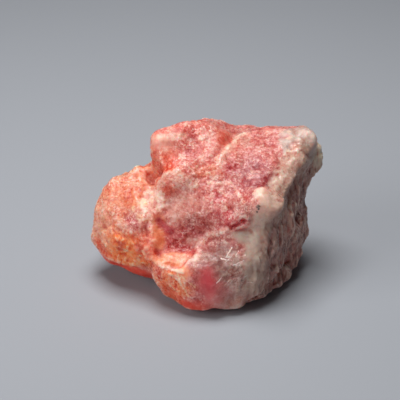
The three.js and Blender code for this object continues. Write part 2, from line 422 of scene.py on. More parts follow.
PATCHES = {
    # the rounded lobe at the top
    "top_lobe": Patch(Mineral.SALMON, TOP, (0.4, 0.6), (9, 9, 8), chips=0.15),
    "lobe_cheek": Patch(Mineral.CHEEK, FRONT, (0.3, 0.9), (3, 3.2, 3), chips=0, grit=0.1),
    "lobe_under": Patch(Mineral.APRICOT, TOP, (0.25, 0.55), (2.2, 3.2, 2.4), chips=0, grit=0.1),
    "lobe_right": Patch(Mineral.TANGERINE, TOP, (0.6, 0.6), (2.8, 4, 3), 0.75, chips=0.1, grit=0.2),
    "lobe_band": Patch(Mineral.ORANGE, TOP, (0.5, 0.4), (3, 2, 1.6), 0.6),
    "notch": Patch(Mineral.TANGERINE, TOP, NOTCH, (4.4, 6, 4), 0.97, grit=0.9),
    "notch_depth": Patch(Mineral.BRICK, TOP, NOTCH, (3, 3.2, 2.4), 0.75, grit=0.7),
    # the lobe at the left
    "left_lobe": Patch(Mineral.PEACH, FRONT, (0.1, 0.5), (9, 18, 12)),
    "left_orange": Patch(Mineral.ORANGE, FRONT, (0.2, 0.6), (3.6, 3.4, 2), 0.8, grit=0.5),
    "left_rose": Patch(Mineral.RASPBERRY, FRONT, (0.2, 0.5), (2.4, 2.8, 2.6), 0.65),
    "left_bulge": Patch(Mineral.AMBER, FRONT, (0.15, 0.3), (7.4, 5.4, 3.8), 0.98, 0.25, 0.9, 0.25),
    "bulge_right": Patch(Mineral.TANGERINE, FRONT, (0.25, 0.35), (2.8, 3, 3), chips=0.6, grit=0.3),
    "left_end": Patch(Mineral.APRICOT, FRONT, (0.05, 0.4), (3, 4, 4), 0.7, grit=0.7),
    "left_ball": Patch(Mineral.TANGERINE, FRONT, (0.05, 0.25), (1.8, 2.6, 1.4), chips=0.5, grit=0.2),
    "left_foot": Patch(Mineral.SCARLET, FRONT, (0.15, 0.1), (9, 8, 3), 0.97, 0.25, 0, 0.05),
    # the middle of the front
    "middle_grey": Patch(Mineral.CHEEK, FRONT, (0.4, 0.6), (4.4, 3.8, 3.4), 0.7, chips=0.1, grit=0.5),
    "pocket": Patch(Mineral.CORAL, FRONT, POCKET, (5.2, 3.6, 3.2), chips=0.5),
    "pocket_depth": Patch(Mineral.CRIMSON, FRONT, POCKET, (3, 3, 2), 0.45, chips=0.3),
    "pocket_right": Patch(Mineral.RASPBERRY, FRONT, (0.45, 0.5), (2.4, 3, 3.4), 0.4, chips=0.5),
    "high_red": Patch(Mineral.CRIMSON, TOP, (0.6, 0.4), (1.4, 1.5, 1.4)),
    "mid_red": Patch(Mineral.CRIMSON, FRONT, (0.55, 0.7), (1.4, 1.4, 1), 0.8),
    "low_red": Patch(Mineral.BRICK, FRONT, (0.6, 0.65), (1.2, 1.2, 0.8), 0.8),
    "recess": Patch(Mineral.BLOOD, FRONT, (0.6, 0.6), (3.4, 3, 2), 0.85, grit=0.8),
    "rough_brown": Patch(Mineral.SEPIA, FRONT, (0.65, 0.65), (2.6, 2.2, 1.8), 0.5),
    # the plateau and its pale rind
    "plateau": Patch(Mineral.ROSE, TOP, (0.75, 0.6), (8, 10, 5), 0.6, chips=0.2),
    "plateau_rose": Patch(Mineral.RASPBERRY, TOP, DUSK_SPOT, (3.6, 4.8, 2.8)),
    "plateau_dusk": Patch(Mineral.GARNET, TOP, DUSK_SPOT, (3.2, 4.2, 2.4), 0.6, chips=0.2, grit=0.7),
    "plateau_rim": Patch(Mineral.CREAM, TOP, (0.65, 0.65), (1.8, 2.6, 1.2), 0.7),
    "rim_foot": Patch(Mineral.CREAM, TOP, (0.55, 0.45), (1.2, 1.8, 1), 0.6),
    "corner": Patch(Mineral.PEARL, TOP, (0.9, 0.6), (4.6, 5, 5), 0.97, 0.15, 0.2, 0.25),
    "flake": Patch(Mineral.GLASSY, RIGHT, (0.7, 0.75), (2, 4, 4), 0.95, chips=0, grit=0.1),
    "knob": Patch(Mineral.FROST, TOP, (0.75, 0.2), (2.6, 2.6, 2), 0.95, 0.3, 0.1, 0.2),
    "quartz": Patch(Mineral.QUARTZ, FRONT, QUARTZ_SPOT, (2.4, 2.2, 1.6), 0.95, chips=0, grit=0.05),
    # the ledge and the shoulder beside it
    "shoulder": Patch(Mineral.DUSK, FRONT, (0.55, 0.35), (5.4, 4.4, 3.6), 0.92, 0.4, 0.2, 0.4),
    "shoulder_top": Patch(Mineral.CREAM, FRONT, (0.45, 0.4), (2.2, 2.2, 1.2), 0.5, 0.5, 0.2, 0.5),
    "low_grey": Patch(Mineral.QUARTZ, FRONT, (0.65, 0.25), (3.6, 4, 4.2), 0.8, chips=0.3, grit=0.9),
    "low_rose": Patch(Mineral.BLUSH, FRONT, (0.55, 0.15), (3.2, 3, 3.4), 0.85, chips=0.15, grit=0.3),
    "ledge": Patch(Mineral.AMBER, FRONT, (0.35, 0.2), (4.8, 3.8, 3.8), 0.8, 0.3, 0.9, 0.7),
    "ledge_top": Patch(Mineral.PEACH, TOP, LEDGE_TOP, (4.6, 2.6, 1.4), 0.95, 0.3, 0.1, 0.45),
    "ledge_side": Patch(Mineral.PEACH, FRONT, (0.4, 0.3), (1.6, 2, 1.4), chips=0, grit=0.1),
    "ledge_stripe": Patch(Mineral.BRICK, FRONT, (0.3, 0.25), (0.7, 1.2, 1.5), 0.85),
    "red_glass": Patch(Mineral.BLOOD, FRONT, (0.5, 0.25), (2.1, 2.4, 3.2), 0.95, 0.8, 0, 0.05),
    "red_foot": Patch(Mineral.SCARLET, FRONT, (0.4, 0.05), (6, 5, 2.2), 0.95, chips=0, grit=0.1),
    "ledge_foot": Patch(Mineral.TANGERINE, FRONT, (0.35, 0.1), (2.4, 3, 3), 0.85, grit=0.3),
    "grey_foot": Patch(Mineral.MAUVE, FRONT, (0.65, 0.1), (4, 4, 2.8), 0.8, chips=0.1, grit=0.3),
    # the back and the underside
    "back_left": Patch(Mineral.PEACH, BACK, (0.2, 0.5), (8, 6, 8), 0.8, chips=0.6),
    "back_middle": Patch(Mineral.SALMON, BACK, (0.5, 0.7), (7, 5, 6), 0.7, chips=0.4),
    "back_pale": Patch(Mineral.CREAM, BACK, (0.75, 0.6), (5, 4, 6), 0.7, chips=0.5),
    "back_glass": Patch(Mineral.BLOOD, BACK, (0.5, 0.25), (4, 4, 3), 0.7, chips=0.1, grit=0.3),
    "underside": Patch(Mineral.CORAL, BELOW, (0.5, 0.5), (12, 10, 2), 0.5),
}


@dataclass(frozen=True)
class Line:
    """A thin line of one mineral, or a clot of it if it has one place.

    Args:
        mineral: What it is made of.
        seen: The side that it is seen from.
        path: The places on that side that it runs through.
        width: How far from the path it reaches, in millimetres.
        show: How much it covers what is under it, from 0 to 1.
        rough: How chipped and sugary the skin is along it, or None if it makes no difference.
    """

    mineral: Mineral
    seen: Seen
    path: Run
    width: float
    show: float = 0.8
    rough: float | None = None


LINES = {
    # A pale rim along the top lobe's crest, partly frost and partly a painted highlight.
    "lobe_crest": Line(Mineral.FROST, FRONT, ((0.3, 0.95), (0.4, 0.95)), 0.9, 0.65),
    "lobe_frost": Line(Mineral.FROST, TOP, ((0.35, 0.6),), 1.6, 0.3),
    # A pale rim along the left lobe's top, partly frost and partly a painted highlight.
    "left_rim": Line(Mineral.BUTTER, TOP, ((0.1, 0.55), (0.2, 0.6)), 0.9, 0.55),
    "left_band": Line(Mineral.FROST, FRONT, ((0.3, 0.65), (0.25, 0.6), (0.25, 0.5)), 1.4, 0.9),
    "left_clot": Line(Mineral.FROST, FRONT, ((0.3, 0.6),), 2.2, 0.9, 0.5),
    "middle_band": Line(Mineral.FROST, TOP, ((0.3, 0.4), (0.4, 0.35), (0.45, 0.35)), 1.1, 0.75),
    "orange_band": Line(Mineral.ORANGE, FRONT, ((0.3, 0.5), (0.3, 0.4)), 1.9, 0.9, 0.2),
    "red_streak": Line(Mineral.CRIMSON, FRONT, RED_STREAK, 1.2, 0.85, 0.3),
    "plateau_rim": Line(Mineral.FROST, TOP, PLATEAU_RIM, 1.2, 0.8),
    "plateau_vein": Line(Mineral.FROST, FRONT, PLATEAU_VEIN, 0.4, 0.6),
    "brow": Line(Mineral.FROST, FRONT, BROW[1:], 0.8, 0.5),
    "rind": Line(Mineral.TAN, TOP, RIDGE, 3.0, 0.95, 0.4),
    "rind_edge": Line(Mineral.FROST, TOP, shifted(RIDGE, -BESIDE), 1.4, 0.8, 0.6),
    "rind_front": Line(Mineral.GREIGE, FRONT, RIDGE_FRONT, 3.2, 0.9, 0.15),
    "rind_front_edge": Line(Mineral.QUARTZ, FRONT, shifted(RIDGE_FRONT[:3], -BESIDE / 2), 1.9, 0.8),
    "slit": Line(Mineral.BLOOD, FRONT, SLIT, 0.75, 0.9),
    "ledge_edge": Line(Mineral.FROST, FRONT, LEDGE_EDGE, 0.4, 0.85),
}


@dataclass(frozen=True)
class Scatter:
    """Clots or scratches of one mineral, strewn at random over a part of one side.

    Args:
        mineral: What they are made of.
        seen: The side.
        low: The lowest place on it that they start at.
        high: The highest.
        count: How many there are.
        width: How far each reaches from its middle, in millimetres.
        show: How much they cover what is under them, from 0 to 1.
        run: How far each runs along the side's two axes. A clot doesn't run.
        stray: How far the ends of the runs stray, or the clots.
    """

    mineral: Mineral
    seen: Seen
    low: Spot
    high: Spot
    count: int
    width: float
    show: float = 0.7
    run: Spot = (0.0, 0.0)
    stray: float = 0.0

    def lines(self, chance: np.random.Generator) -> list[Line]:
        """Strews them.

        Args:
            chance: Where the random numbers come from.

        Returns:
            A line for each.
        """
        made = []
        for start in chance.uniform(self.low, self.high, (self.count, 2)):
            end = start + self.run + chance.normal(0, self.stray, 2)
            path = (tuple(start), tuple(end)) if any(self.run) else (tuple(end),)
            width = self.width * chance.uniform(0.7, 1.2)
            made.append(Line(self.mineral, self.seen, path, width, self.show))
        return made


SCATTERS = {
    "left_clots": Scatter(Mineral.BUTTER, FRONT, (0.1, 0.5), (0.25, 0.65), 5, 0.9),
    "left_reds": Scatter(Mineral.CRIMSON, FRONT, (0.15, 0.45), (0.25, 0.55), 3, 0.9),
    "left_rust": Scatter(Mineral.BRICK, FRONT, (0.15, 0.55), (0.25, 0.65), 2, 0.6),
    # Painted highlights: pale glints on the glassy facets of the bulge.
    "bulge_glints": Scatter(Mineral.BUTTER, FRONT, (0.1, 0.25), (0.25, 0.4), 4, 0.7),
    "bulge_rust": Scatter(Mineral.BRICK, FRONT, (0.1, 0.3), (0.25, 0.4), 3, 1.2),
    "crown_clots": Scatter(Mineral.FROST, TOP, (0.35, 0.45), (0.55, 0.65), 4, 0.9, 0.6),
    "crown_reds": Scatter(Mineral.CRIMSON, TOP, (0.4, 0.45), (0.5, 0.6), 3, 1.0, 0.5),
    "middle_clots": Scatter(Mineral.CREAM, FRONT, (0.45, 0.55), (0.65, 0.75), 4, 0.8, 0.6),
    "plateau_clots": Scatter(Mineral.FROST, TOP, (0.65, 0.6), (0.85, 0.7), 3, 1.0, 0.6),
    "plateau_reds": Scatter(Mineral.CRIMSON, TOP, (0.7, 0.5), (0.85, 0.7), 3, 0.9, 0.5),
    "knob_specks": Scatter(Mineral.SOOT, FRONT, (0.7, 0.7), (0.7, 0.7), 4, 0.4, 1.0, stray=0.01),
    "low_specks": Scatter(Mineral.SOOT, FRONT, (0.55, 0.2), (0.7, 0.35), 3, 0.28),
    "scratches": Scatter(Mineral.ICE, FRONT, (0.5, 0.2), (0.65, 0.4), 16, 0.13, 0.9, (0.02, 0.01), 0.02),
    "ledge_veins": Scatter(Mineral.BUTTER, FRONT, (0.3, 0.2), (0.4, 0.3), 5, 0.28, 0.8, (0.03, -0.06), 0.02),
    "wall_streaks": Scatter(
        Mineral.GREIGE, RIGHT, (0.15, 0.45), (0.4, 0.65), 5, 0.5, 0.5, (-0.02, -0.12), 0.02
    ),
}


def strewn_lines() -> list[Line]:
    """Lays out every line, clot and scratch of the skin.

    Returns:
        The lines, in the order that they are drawn in.
    """
    chance = np.random.default_rng(SEED)
    made = list(LINES.values())
    for scatter in SCATTERS.values():
        made += scatter.lines(chance)
    return made


# ---- The skin's forms -----------------------------------------------------------------


class Profile(Enum):
    """The cross-section of a stroke."""

    ROUND = "round"
    SHARP = "sharp"


@dataclass(frozen=True)
class Stroke:
    """A line along which the skin is raised, or cut in. With one place it is a dent or a bump.

    Args:
        seen: The side that it is seen from.
        path: The places on that side that it runs through.
        width: How far from the line it reaches, in millimetres.
        height: How far it stands out, in millimetres, below nought for a cut.
        profile: Its cross-section.
    """

    seen: Seen
    path: Run
    width: float
    height: float
    profile: Profile = Profile.ROUND


STROKES = {
    "notch_crease": Stroke(TOP, ((0.25, 0.55), NOTCH), 1.2, -0.8),
    "lobe_groove": Stroke(TOP, shifted(PLATEAU_RIM, -BESIDE), 1.1, -0.5),
    "plateau_rim": Stroke(TOP, PLATEAU_RIM, 0.9, 0.3, Profile.SHARP),
    "plateau_vein": Stroke(FRONT, PLATEAU_VEIN, 0.6, 0.15, Profile.SHARP),
    "slit": Stroke(FRONT, SLIT, 0.6, -0.8),
    "slit_lip": Stroke(FRONT, shifted(SLIT, 0.0, BESIDE), 1.8, 0.5),
    "red_pocket": Stroke(FRONT, RED_STREAK, 1.8, -0.4),
    "cleft": Stroke(FRONT, ((0.25, 0.5), (0.25, 0.4), (0.3, 0.35)), 1.0, -0.5),
    "left_shoulder": Stroke(TOP, ((0.1, 0.55),), 1.8, 0.5),
    "left_dent": Stroke(TOP, ((0.15, 0.6),), 1.8, -0.6),
    "left_brow": Stroke(TOP, ((0.2, 0.6),), 2.0, 0.5),
    "pocket_floor": Stroke(FRONT, ((0.35, 0.4), POCKET, (0.5, 0.5)), 2.2, -0.3),
    "brow": Stroke(FRONT, BROW, 0.9, 0.4, Profile.SHARP),
    "left_crack": Stroke(FRONT, ((0.0, 0.3), (0.1, 0.45)), 0.5, -0.2),
    "left_edge": Stroke(FRONT, ((0.05, 0.2), (0.15, 0.2), (0.25, 0.25)), 1.2, 0.5, Profile.SHARP),
    "wall_hollow": Stroke(RIGHT, ((0.45, 0.7), (0.35, 0.6)), 3.0, -1.0),
    "wall_knob": Stroke(RIGHT, ((0.4, 0.35),), 2.0, 0.9),
    "wall_notch": Stroke(RIGHT, ((0.45, 0.45),), 2.0, -1.6),
    "wall_side": Stroke(RIGHT, ((0.55, 0.65), (0.5, 0.55), (0.45, 0.35)), 4.0, -1.2),
    "wall_foot": Stroke(FRONT, ((0.7, 0.05), (0.8, 0.1), (0.85, 0.2)), 3.0, -1.7),
    "plateau_back": Stroke(TOP, ((0.65, 0.8), (0.8, 0.8)), 5.0, -0.8),
    "lobe_back": Stroke(TOP, ((0.6, 0.75),), 3.2, -0.8),
    "corner_block": Stroke(TOP, ((0.9, 0.65), (0.9, 0.6)), 4.4, 1.1),
    "ledge_edge": Stroke(FRONT, LEDGE_EDGE, 0.6, 0.3, Profile.SHARP),
}

# Small pits in the middle of patches: how deep each is, and how wide, in millimetres.
PITS = {"high_red": 0.35, "mid_red": 0.35, "low_red": 0.4}
PIT_WIDTH = 1.2

# Ribs down the broken wall: how far back each stands, where its top and its foot are and how
# far it leans between them, as shares of the side, and its size, in millimetres.
WALL_RIBS = (0.2, 0.25, 0.35)
RIB_TOP = 0.5
RIB_FOOT = 0.4
RIB_LEAN = 0.02
RIB_WIDTH = 1.0
RIB_HEIGHT = 0.5


def all_strokes() -> list[Stroke]:
    """Lays out every stroke, with the pits and the ribs of the wall.

    Returns:
        The strokes.
    """
    strokes = list(STROKES.values())
    for name, depth in PITS.items():
        strokes.append(Stroke(PATCHES[name].seen, (PATCHES[name].at,), PIT_WIDTH, -depth))
    for back in WALL_RIBS:
        strokes.append(Stroke(RIGHT, ((back, RIB_TOP), (back - RIB_LEAN, RIB_FOOT)), RIB_WIDTH, RIB_HEIGHT))
    return strokes


@dataclass(frozen=True)
class Cleft:
    """A small flat face that is cleft off the skin.

    Args:
        seen: The side that it is seen from.
        at: Its middle on that side.
        facing: Which way it faces.
        reach: How far from its middle it cuts each way, in millimetres.
        depth: How far under its middle it cuts, in millimetres.
    """

    seen: Seen
    at: Spot
    facing: Share
    reach: Share
    depth: float = 0.3


CLEFTS = {
    "ledge_top": Cleft(TOP, LEDGE_TOP, (0.0, -0.5, 1.0), (5, 3, 2), 0.15),
    "quartz": Cleft(FRONT, QUARTZ_SPOT, (0.0, -1.0, 0.5), (2.8, 2.8, 2.4)),
    "corner_side": Cleft(RIGHT, (0.6, 0.85), (1.0, -1.0, 0.0), (3, 4, 3.2), 0.6),
}


@dataclass(frozen=True)
class Bevel:
    """A long flat face that is broken off along an edge.

    Args:
        seen: The side that the edge is seen from.
        path: The places on that side that it runs through.
        facing: Which way the face looks.
        reach: How far from the edge it cuts, in millimetres.
        depth: How far under the edge it cuts, in millimetres.
        rounds: How often its rim is smoothed.
    """

    seen: Seen
    path: Run
    facing: Share
    reach: float
    depth: float
    rounds: int


BEVELS = {
    "ridge": Bevel(TOP, RIDGE, (0.5, -0.5, 1.0), 4.0, 1.1, 10),
}


@dataclass(frozen=True)
class WornEdge:
    """An edge that is rounded off.

    Args:
        seen: The side that it is seen from.
        path: The places on that side that it runs through.
        width: How far from the edge the rounding reaches, in millimetres.
        rounds: How often it is smoothed.
    """

    seen: Seen
    path: Run
    width: float
    rounds: int


WORN_EDGES = {
    "ridge_top": WornEdge(TOP, shifted(RIDGE, -BESIDE), 2.0, 12),
    "ridge_front": WornEdge(FRONT, RIDGE_FRONT, 3.0, 40),
}


# ---- The skin -------------------------------------------------------------------------

# The broken wall: which way it faces, how squarely the skin faces that way where the wall
# starts and where it is whole, and how far right that is, in millimetres.
WALL_FACING = (1.0, -0.5, 0.0)
WALL_SQUARE = (0.5, 0.85)
WALL_RIGHT = (5, 8)

# How much less sugary the wall is, and how far from the bevel its flutes start and are whole.
WALL_CALM = 0.9
FLUTES_START = (3.0, 6.5)

# How chipped the skin is where no patch says.
PLAIN_CHIPS = 0.3

# How far a point moves towards its neighbours in a round of smoothing, and in the round that
# follows the breaking of the skin into flat faces.
EVEN = 0.5
EVEN_FACETS = 0.4

# Where the whole of a line, a bevel or a cleft starts, as a share of its reach, and how far out
# the rim of a bevel is smoothed.
LINE_CORE = 0.5
BEVEL_CORE = 0.5
CLEFT_CORE = 0.7
BEVEL_RIM = 1.4

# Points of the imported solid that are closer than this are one, in metres.
WELD = 1e-7

# The relief: the size and reach of the chips' wander and how round they are, as shares of
# their size, and the mean of the grains' pattern. The flutes wander too, by a size and a reach
# in metres, and are drawn out downwards.
CHIP_WANDER = (1.3, 0.3)
CHIP_ROUND = 0.12
GRAIN_MEAN = 0.45
FLUTE_WANDER = (0.004, 0.0012)
FLUTE_STRETCH = (1.0, 1.0, 0.22)


def read(items: Any, name: str) -> np.ndarray:
    """A property of three numbers of many items, such as a mesh's vertices.

    Args:
        items: The items.
        name: The property.

    Returns:
        One row for each item.
    """
    values = np.zeros(len(items) * 3, np.float32)
    items.foreach_get(name, values)
    return values.reshape(-1, 3).astype(float)


def unit(way: Share) -> np.ndarray:
    """A direction, brought to a length of one."""
    return np.array(way) / np.linalg.norm(way)


def lengths(rows: np.ndarray) -> np.ndarray:
    """The length of each row."""
    return np.linalg.norm(rows, axis=1)


def bell(reach: np.ndarray) -> np.ndarray:
    """A round bump that is one at nought and fades out past one."""
    return np.exp(-(reach**2) * 2)


def stepped(values: np.ndarray, low: float, high: float) -> np.ndarray:
    """A smooth step from nought at low to one at high, which may be the smaller."""
    share = np.clip((values - low) / (high - low), 0, 1)
    return share * share * (3 - 2 * share)


class Net:
    """A fine mesh as rows of points, in millimetres, which forms are carved into."""

    def __init__(self, mesh: bpy.types.Mesh, solid: Solid) -> None:
        """Reads a mesh.

        Args:
            mesh: The mesh.
            solid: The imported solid, which the forms are placed on.
        """
        self.mesh = mesh
        self.solid = solid
        self.points = read(mesh.vertices, "co") / MM
        self.edges = np.array([edge.vertices[:] for edge in mesh.edges])

    def put(self) -> None:
        """Moves the mesh's vertices to the points."""
        self.mesh.vertices.foreach_set("co", (self.points * MM).ravel())
        self.mesh.update()

    def normals(self) -> np.ndarray:
        """Which way the mesh faces at each vertex, as it was last put."""
        return read(self.mesh.vertex_normals, "vector")

    def write(self, name: str, values: np.ndarray) -> None:
        """Keeps a number for each vertex under a name."""
        attribute = self.mesh.attributes.new(name, "FLOAT", "POINT")
        attribute.data.foreach_set("value", values.astype(np.float32))

    def nearest(self, form: Any) -> np.ndarray:
        """The point of a form's path that is nearest to each point.

        Args:
            form: What has the path, and the side that it is seen from.

        Returns:
            One row for each point, in millimetres.
        """
        knots = [np.array(knot) for knot in self.solid.trail(form.seen, form.path, STRETCHES)]
        best = np.broadcast_to(knots[0], self.points.shape)
        for start, end in zip(knots, knots[1:]):
            along = end - start
            share = np.clip((self.points - start) @ along / (along @ along), 0, 1)
            foot = start + share[:, None] * along
            nearer = lengths(self.points - foot) < lengths(self.points - best)
            best = np.where(nearer[:, None], foot, best)
        return best

    def apart(self, form: Any) -> np.ndarray:
        """How far each point is from a form's path, in millimetres."""
        return lengths(self.points - self.nearest(form))

    def relax(self, rounds: int, share: Any = EVEN) -> None:
        """Draws each point towards the middle of its neighbours.

        Args:
            rounds: How often the points are moved.
            share: How far they move each time, as one number or one for each point.
        """
        ends = np.concatenate([self.edges[:, 0], self.edges[:, 1]])
        others = np.concatenate([self.edges[:, 1], self.edges[:, 0]])
        size = len(self.points)
        count = np.bincount(ends, minlength=size)[:, None]
        share = np.broadcast_to(share, size)[:, None]
        for _ in range(rounds):
            total = [np.bincount(ends, self.points[others, axis], size) for axis in range(3)]
            self.points = self.points + share * (np.stack(total, axis=1) / count - self.points)

    def press(self, facing: np.ndarray, depth: np.ndarray) -> None:
        """Moves each point by a depth, against the way that it or all of them face."""
        self.points = self.points - facing * depth[:, None]

    def bevel(self, bevel: Bevel) -> None:
        """Presses what stands over a bevel down on it, and smooths its rim.

        Args:
            bevel: The bevel.
        """
        facing = unit(bevel.facing)
        away = self.points - self.nearest(bevel)
        over = np.clip(away @ facing + bevel.depth, 0, None)
        apart = lengths(away)
        self.press(facing, over * stepped(apart, bevel.reach, bevel.reach * BEVEL_CORE))
        self.relax(bevel.rounds, EVEN * stepped(apart, bevel.reach * BEVEL_RIM, bevel.reach))

    def cleave(self, cleft: Cleft) -> None:
        """Presses what stands over a small plane down on it.

        Args:
            cleft: The plane.
        """
        facing = unit(cleft.facing)
        middle = np.array(self.solid.spot(cleft.seen, cleft.at)) - facing * cleft.depth
        over = np.clip((self.points - middle) @ facing, 0, None)
        away = lengths((self.points - middle) / np.array(cleft.reach))
        self.press(facing, over * stepped(away, 1, CLEFT_CORE))

    def textures(self) -> tuple[np.ndarray, np.ndarray]:
        """How chipped and how sugary the skin is.

        Returns:
            The chips and the grit at each point, from 0 to 1.
        """
        chips = np.full(len(self.points), PLAIN_CHIPS)
        grit = np.ones(len(self.points))
        for patch in PATCHES.values():
            middle = np.array(self.solid.spot(patch.seen, patch.at))
            away = lengths((self.points - middle) / np.array(patch.half))
            cover = stepped(away, 1 + patch.soft, 1 - patch.soft)
            chips += (patch.chips - chips) * cover
            grit += (patch.grit - grit) * cover
        for line in LINES.values():
            if line.rough is not None:
                cover = stepped(self.apart(line), line.width, line.width * LINE_CORE)
                chips += (line.rough - chips) * cover
                grit += (line.rough - grit) * cover
        return chips, grit

    def facet(self, chips: np.ndarray, count: int, tilt: float) -> None:
        """Flattens the skin into small faces, as where it broke.

        Args:
            chips: How flat it becomes at each point, from 0 to 1.
            count: How many faces there are.
            tilt: How much they are tilted at random.
        """
        chance = np.random.default_rng(SEED)
        seeds = chance.choice(len(self.points), count, replace=False)
        tree = KDTree(count)
        for number, seed in enumerate(seeds):
            tree.insert(self.points[seed], number)
        tree.balance()
        cell = np.array([tree.find(point)[1] for point in self.points])
        held = np.maximum(np.bincount(cell, minlength=count), 1)[:, None]
        middle, facing = (
            np.stack([np.bincount(cell, rows[:, axis], count) for axis in range(3)], axis=1) / held
            for rows in (self.points, self.normals())
        )
        facing += chance.normal(0, tilt, facing.shape)
        facing /= lengths(facing)[:, None]
        over = np.sum((self.points - middle[cell]) * facing[cell], axis=1)
        self.press(facing[cell], over * chips)


@dataclass
class Skin:
    """The whole lump as one fine closed mesh.

    Args:
        solid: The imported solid.
        voxel: The side of a cell of the fine mesh, in millimetres.
        melt_rounds: How often the flat faces of the solid are smoothed out.
        facet_count: How many flat faces the skin is broken into.
        facet_tilt: How much those are tilted at random.
        swell: The size and height of the broad waves of the skin, in millimetres.
        chip: The size and height of the small flat faces, in millimetres.
        grain: The size and height of the grains, in millimetres.
        flute: The width and height of the flutes of the broken wall, in millimetres.
        foot: The height and depth of the tuck round the foot, in millimetres.
        on_floor: How high the skin still counts as lying on the floor, in millimetres.
        relax_rounds: How often the skin is smoothed to find where it stands proud.
    """

    solid: Solid
    voxel: float = 0.27
    melt_rounds: int = 10
    facet_count: int = 1400
    facet_tilt: float = 0.16
    swell: tuple[float, float] = (3.2, 0.5)
    chip: tuple[float, float] = (1.1, 0.35)
    grain: tuple[float, float] = (0.8, 0.2)
    flute: tuple[float, float] = (1.3, 1.0)
    foot: tuple[float, float] = (1.8, 1.6)
    on_floor: float = 0.01
    relax_rounds: int = 12

    def build(self, material: bpy.types.Material) -> bpy.types.Object:
        """Makes the lump.

        Args:
            material: The finish of its skin.

        Returns:
            The lump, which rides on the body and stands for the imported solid.
        """
        lump = self.fine_copy()
        self.carve(Net(lump.data, self.solid))
        self.roughen(lump, material)
        self.settle(Net(lump.data, self.solid))
        lump.data.polygons.foreach_set("use_smooth", [True] * len(lump.data.polygons))
        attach(lump, BODY)
        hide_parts(NODE)
        return lump

    def fine_copy(self) -> bpy.types.Object:
        """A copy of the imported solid, drawn again as a fine even net.

        Returns:
            The new object.
        """
        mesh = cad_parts[NODE].data.copy()
        mesh.materials.clear()
        shape = bmesh.new()
        shape.from_mesh(mesh)
        bmesh.ops.remove_doubles(shape, verts=shape.verts, dist=WELD)
        shape.to_mesh(mesh)
        shape.free()
        lump = bpy.data.objects.new("triplite_stone", mesh)
        bpy.context.scene.collection.objects.link(lump)
        net = lump.modifiers.new("net", "REMESH")
        net.mode = "VOXEL"
        net.voxel_size = self.voxel * MM
        self.freeze(lump)
        return lump

    @staticmethod
    def freeze(lump: bpy.types.Object) -> None:
        """Turns an object and its modifiers into a plain mesh.

        Args:
            lump: The object, which keeps its name.
        """
        plain = bpy.data.meshes.new_from_object(lump.evaluated_get(bpy.context.evaluated_depsgraph_get()))
        lump.modifiers.clear()
        lump.data = plain
        plain.name = lump.name

    def carve(self, net: Net) -> None:
        """Melts the solid's flat faces, then cuts the skin's own forms.

        Args:
            net: The fine mesh.
        """
        net.relax(self.melt_rounds)
        for worn in WORN_EDGES.values():
            net.relax(worn.rounds, EVEN * bell(net.apart(worn) / worn.width))
        for bevel in BEVELS.values():
            net.bevel(bevel)
        for cleft in CLEFTS.values():
            net.cleave(cleft)
        net.put()
        chips, grit = net.textures()
        net.facet(chips, self.facet_count, self.facet_tilt)
        net.relax(1, EVEN_FACETS)
        net.put()
        normals = net.normals()
        height = np.zeros(len(net.points))
        for stroke in all_strokes():
            reach = net.apart(stroke) / stroke.width
            rise = np.clip(1 - reach, 0, 1) if stroke.profile is Profile.SHARP else bell(reach)
            height += stroke.height * rise
        # The wall is found by which way the skin faces; its colour is darker partly as painted shade on that
        # side.
        wall = stepped(normals @ unit(WALL_FACING), *WALL_SQUARE) * stepped(net.points[:, 0], *WALL_RIGHT)
        bevelled = np.min([net.apart(bevel) for bevel in BEVELS.values()], axis=0)
        net.write("wall", wall)
        net.write("flutes", wall * stepped(bevelled, *FLUTES_START))
        net.write("chips", chips)
        net.write("grit", grit * (1 - WALL_CALM * wall))
        net.press(normals, -height)
        net.put()

    def roughen(self, lump: bpy.types.Object, material: bpy.types.Material) -> None:
        """Chips, flutes and roughens the skin with a tree of geometry nodes.

        Args:
            lump: The carved lump.
            material: The finish of its skin.
        """
        layers = {"Swell": self.swell, "Chip": self.chip, "Grain": self.grain, "Flute": self.flute}
        tree = relief_tree(list(layers))
        relief = lump.modifiers.new("relief", "NODES")
        relief.node_group = tree
        values = {"Material": material}
        for name, (size, height) in layers.items():
            values[f"{name} Size"] = size * MM
            values[f"{name} Height"] = height * MM
        for item in tree.interface.items_tree:
            if item.in_out == "INPUT" and item.name in values:
                relief[item.identifier] = values[item.name]
        self.freeze(lump)

    def settle(self, net: Net) -> None:
        """Lets nothing reach under the resting flat, and marks where the skin stands proud.

        Args:
            net: The rough mesh.
        """
        points = net.points
        points[:, 2] = np.maximum(points[:, 2], self.solid.low.z)
        rise, depth = self.foot
        out = points - points[points[:, 2] < self.on_floor].mean(axis=0)
        out[:, 2] = 0
        out /= lengths(out)[:, None] + 1e-6
        net.press(out, stepped(points[:, 2], rise, 0) * depth)
        net.put()
        rough = net.points
        normals = net.normals()
        net.relax(self.relax_rounds)
        net.write("proud", np.sum((rough - net.points) * normals, axis=1))


